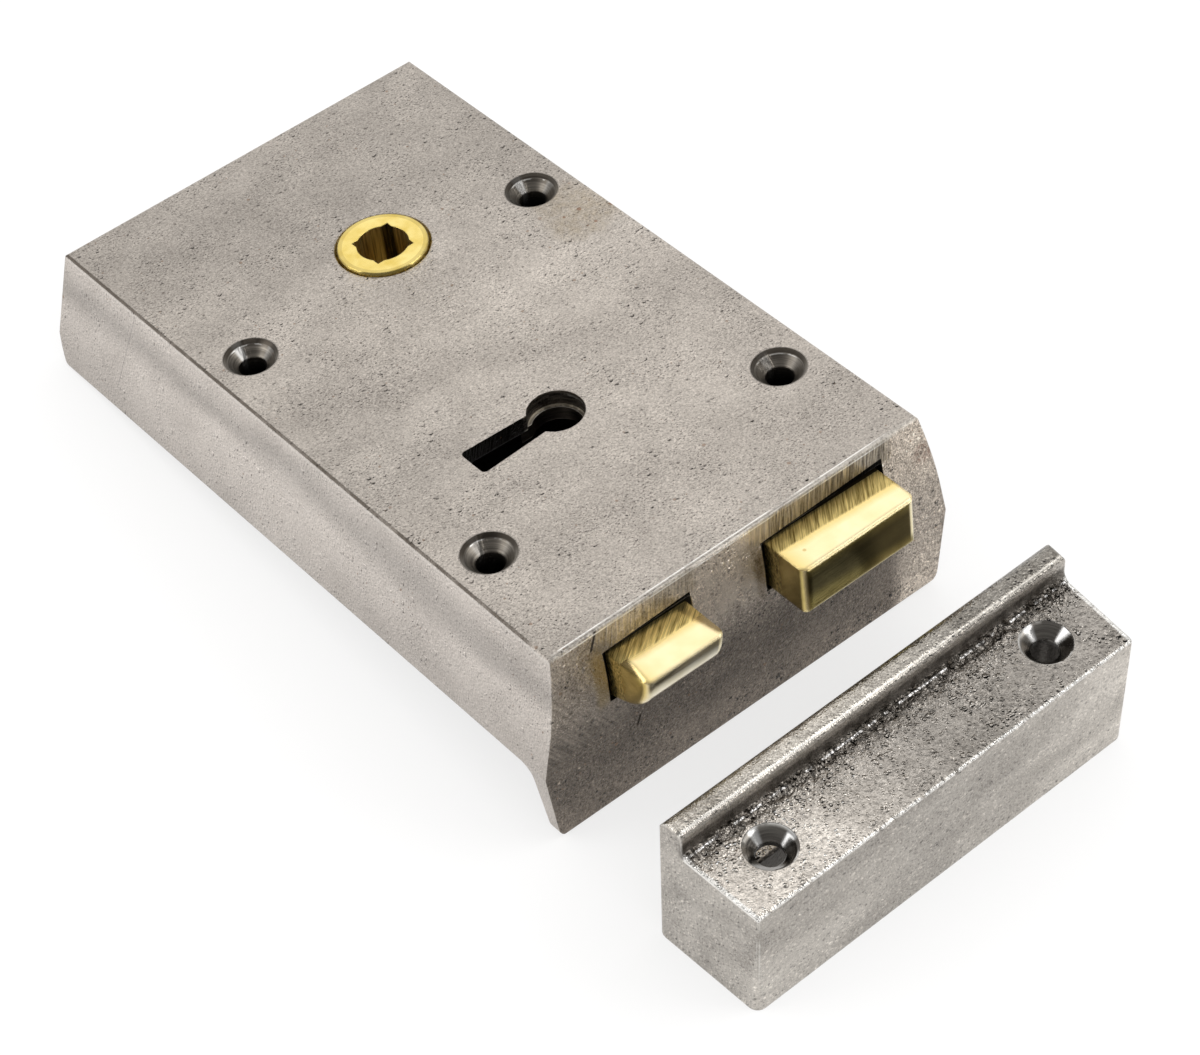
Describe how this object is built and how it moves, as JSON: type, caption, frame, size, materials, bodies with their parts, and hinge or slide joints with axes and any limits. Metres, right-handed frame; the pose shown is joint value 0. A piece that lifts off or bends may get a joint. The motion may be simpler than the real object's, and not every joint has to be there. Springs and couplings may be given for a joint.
{
  "type": "rim box lock",
  "caption": "Cast-iron rim box lock with a lipped forend, square-drive latch bolt, key-driven dead bolt, lever works inside, and its matching lipped keep standing beside it.",
  "frame": {"origin": "on the spindle's axis, in the plane of the back that lies against the door", "axes": "+Z out of the door face towards the room, +X along the case towards the forend and the bolts, +Y across the case towards the dead bolt"},
  "size_m": [0.2007, 0.0914, 0.0491],
  "materials": {
    "cast_iron": "bare cast iron, skin scrubbed and lightly polished, satin",
    "keep_iron": "bare cast iron with a coarser, glossier grain",
    "brass": "polished yellow brass, filed where the bolts run in the forend",
    "steel": "plain mild steel",
    "spring_steel": "blued spring steel"
  },
  "bodies": {
    "lock_case": {"case": "cast_iron", "back_plate": "steel", "back_plate_screws": "steel", "keyhole_ward_face": "steel", "keyhole_ward_back": "steel", "lever_pivot": "steel", "lever_washer": "steel", "lever_spring_stop": "steel", "latch_guide_stud": "steel", "latch_spring": "spring_steel", "keep": "keep_iron"},
    "dead_bolt": {"deadbolt_head": "brass", "deadbolt_tail": "steel", "deadbolt_rivets": "steel", "deadbolt_stump": "steel"},
    "latch_bolt": {"latch_head": "brass", "latch_tail": "steel", "latch_rivets": "steel", "latch_spring_rod": "steel"},
    "follower": {"follower": "brass"},
    "lever_1": {"lever_1": "brass", "lever_spring_1": "spring_steel"},
    "lever_2": {"lever_2": "brass", "lever_spring_2": "spring_steel"}
  },
  "joints": [
    {"name": "deadbolt_throw", "type": "slide", "parent": "lock_case", "child": "dead_bolt", "axis": [1, 0, 0], "range_m": [-0.0096, 0]},
    {"name": "follower_turn", "type": "hinge", "parent": "lock_case", "child": "follower", "pos_m": [0, 0, 0.0127], "axis": [0, 0, 1], "range_deg": [0, 40], "stiffness_Nm_per_rad": 0.27, "springref_deg": -22.92},
    {"name": "latch_slide", "type": "slide", "parent": "lock_case", "child": "latch_bolt", "axis": [1, 0, 0], "range_m": [-0.0105, 0], "deforming": ["latch_spring"]},
    {"name": "lever_1_lift", "type": "hinge", "parent": "lock_case", "child": "lever_1", "pos_m": [0.034, 0.015, 0.0165], "axis": [0, 0, 1], "range_deg": [0, 7], "deforming": ["lever_spring_1"]},
    {"name": "lever_2_lift", "type": "hinge", "parent": "lock_case", "child": "lever_2", "pos_m": [0.034, 0.015, 0.0144], "axis": [0, 0, 1], "range_deg": [0, 7], "deforming": ["lever_spring_2"]}
  ],
  "couplings": [
    {"joint": "latch_slide", "follows": "follower_turn", "m_per_rad": -0.015},
    {"joint": "lever_1_lift", "follows": "deadbolt_throw", "rad_per_m": -12.723},
    {"joint": "lever_2_lift", "follows": "deadbolt_throw", "rad_per_m": -12.723}
  ]
}
